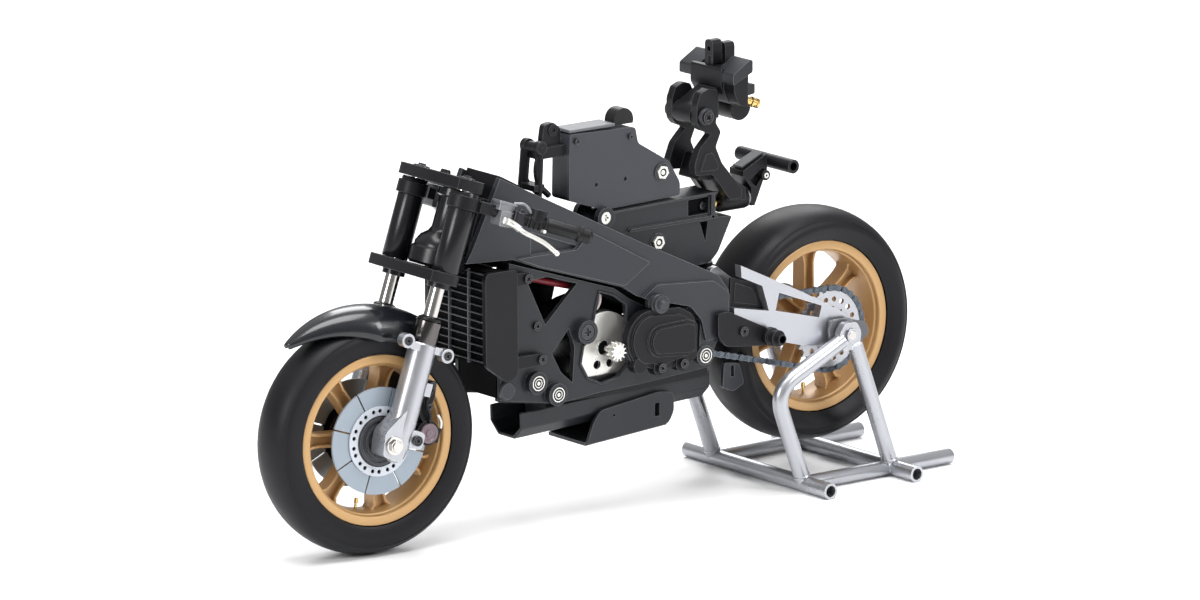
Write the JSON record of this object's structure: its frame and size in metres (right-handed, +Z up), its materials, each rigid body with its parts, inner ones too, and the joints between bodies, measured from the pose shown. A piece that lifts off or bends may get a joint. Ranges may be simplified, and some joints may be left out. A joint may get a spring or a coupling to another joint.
{
  "type": "rc motorcycle",
  "caption": "Radio-controlled racing motorcycle chassis with sprung fork and swingarm, chain drive, rider hip mount and a rear paddock stand.",
  "frame": {"origin": "middle of the bounding box's base, on the surface that the stand and the front tyre rest on", "axes": "+X forward along the bike, +Y to the bike's left, where the chain is, +Z up"},
  "size_m": [0.2589, 0.0746, 0.1488],
  "materials": {
    "black_nylon": "satin moulded",
    "gloss_black": "polished",
    "grey_plastic": "satin moulded",
    "chain_steel": "dark plated",
    "tyre_rubber": "slick",
    "gold_wheel": "metallic gold paint",
    "silver_alloy": "satin",
    "polished_steel": "polished",
    "disc_steel": "matt grey",
    "brass": "turned",
    "red_wire": "smooth",
    "soft_rubber": "matt"
  },
  "bodies": {
    "chassis": {"frame_head": "black_nylon", "spar_left": "black_nylon", "spar_right": "black_nylon", "engine_plate_left": "black_nylon", "engine_plate_right": "black_nylon", "belly_pan": "black_nylon", "lower_bracket": "black_nylon", "radiator": "black_nylon", "motor": "polished_steel", "gear_case": "black_nylon", "battery": "grey_plastic", "motor_wires": "red_wire", "upper_frame": "black_nylon", "servo_case": "grey_plastic", "servo_lid": "grey_plastic", "rubber_cap": "soft_rubber", "cowl_stay": "black_nylon", "seat_rail": "black_nylon", "tail_tube": "black_nylon", "foot_peg_left": "black_nylon", "foot_peg_right": "black_nylon", "hip_shaft": "brass", "shock_body": "black_nylon", "shock_spring": "polished_steel"},
    "steering": {"lower_clamp": "black_nylon", "upper_clamp": "black_nylon", "fork_tube_left": "black_nylon", "fork_tube_right": "black_nylon", "stanchion_left": "polished_steel", "stanchion_right": "polished_steel", "handlebar_left": "black_nylon", "handlebar_right": "black_nylon", "lever_left": "silver_alloy", "lever_right": "silver_alloy"},
    "fork": {"fork_slider_left": "silver_alloy", "fork_slider_right": "silver_alloy", "front_axle": "polished_steel", "caliper_left": "black_nylon", "caliper_right": "black_nylon", "front_fender": "gloss_black"},
    "front_wheel": {"front_tyre": "tyre_rubber", "front_rim": "gold_wheel", "front_hub": "grey_plastic", "brake_disc_left": "disc_steel", "brake_disc_right": "disc_steel"},
    "swingarm": {"swingarm": "silver_alloy", "rear_axle": "polished_steel", "chain_adjuster_left": "chain_steel", "chain_adjuster_right": "chain_steel", "chain": "chain_steel", "shock_rod": "polished_steel"},
    "rear_wheel": {"rear_tyre": "tyre_rubber", "rear_rim": "gold_wheel", "rear_sprocket": "polished_steel"},
    "stand": {"paddock_stand": "silver_alloy"},
    "hip_column": {"hip_column": "black_nylon"},
    "hip_yoke": {"hip_yoke": "black_nylon"},
    "motor_pinion": {"pinion": "polished_steel"},
    "spur_gear": {"spur_gear": "grey_plastic"},
    "output_shaft": {"drive_sprocket": "polished_steel"}
  },
  "joints": [
    {"name": "steering", "type": "hinge", "parent": "chassis", "child": "steering", "pos_m": [0.08341, 0, 0.03459], "axis": [-0.3256, 0, 0.9455], "range_deg": [-14.6, 25.4]},
    {"name": "fork_travel", "type": "slide", "parent": "steering", "child": "fork", "axis": [-0.3256, 0, 0.9455], "range_m": [-0.001, 0.003], "stiffness_N_per_m": 1500, "springref_m": -0.0011},
    {"name": "front_wheel_spin", "type": "hinge", "parent": "fork", "child": "front_wheel", "pos_m": [0.09216, -0.00088, 0.03761], "axis": [0.089, 0.9956, 0.0306], "continuous": true},
    {"name": "swingarm_pivot", "type": "hinge", "parent": "chassis", "child": "swingarm", "pos_m": [-0.036, 0, 0.0595], "axis": [0, 1, 0], "range_deg": [-3, 3], "stiffness_Nm_per_rad": 4, "springref_deg": -1.09, "deforming": ["shock_spring"]},
    {"name": "rear_wheel_spin", "type": "hinge", "parent": "swingarm", "child": "rear_wheel", "pos_m": [-0.0858, 0, 0.0499], "axis": [0, 1, 0], "continuous": true},
    {"name": "stand_lift", "type": "hinge", "parent": "swingarm", "child": "stand", "pos_m": [-0.0858, 0, 0.0499], "axis": [0, 1, 0], "range_deg": [0, 60]},
    {"name": "hip_lean", "type": "hinge", "parent": "chassis", "child": "hip_column", "pos_m": [-0.0495, 0, 0.0951], "axis": [1, 0, 0], "range_deg": [-20, 20]},
    {"name": "hip_nod", "type": "hinge", "parent": "hip_column", "child": "hip_yoke", "pos_m": [-0.038, 0, 0.1259], "axis": [0, 1, 0], "range_deg": [-8, 20]},
    {"name": "output_spin", "type": "hinge", "parent": "chassis", "child": "output_shaft", "pos_m": [-0.0216, 0, 0.0587], "axis": [0, 1, 0], "continuous": true},
    {"name": "spur_spin", "type": "hinge", "parent": "chassis", "child": "spur_gear", "pos_m": [-0.0069, 0, 0.0573], "axis": [0, 1, 0], "continuous": true},
    {"name": "pinion_spin", "type": "hinge", "parent": "chassis", "child": "motor_pinion", "pos_m": [0.0042, 0, 0.0557], "axis": [0, 1, 0], "continuous": true}
  ],
  "couplings": [
    {"joint": "output_spin", "follows": "rear_wheel_spin", "ratio": 3},
    {"joint": "spur_spin", "follows": "rear_wheel_spin", "ratio": -2.1667},
    {"joint": "pinion_spin", "follows": "rear_wheel_spin", "ratio": 6.5}
  ]
}
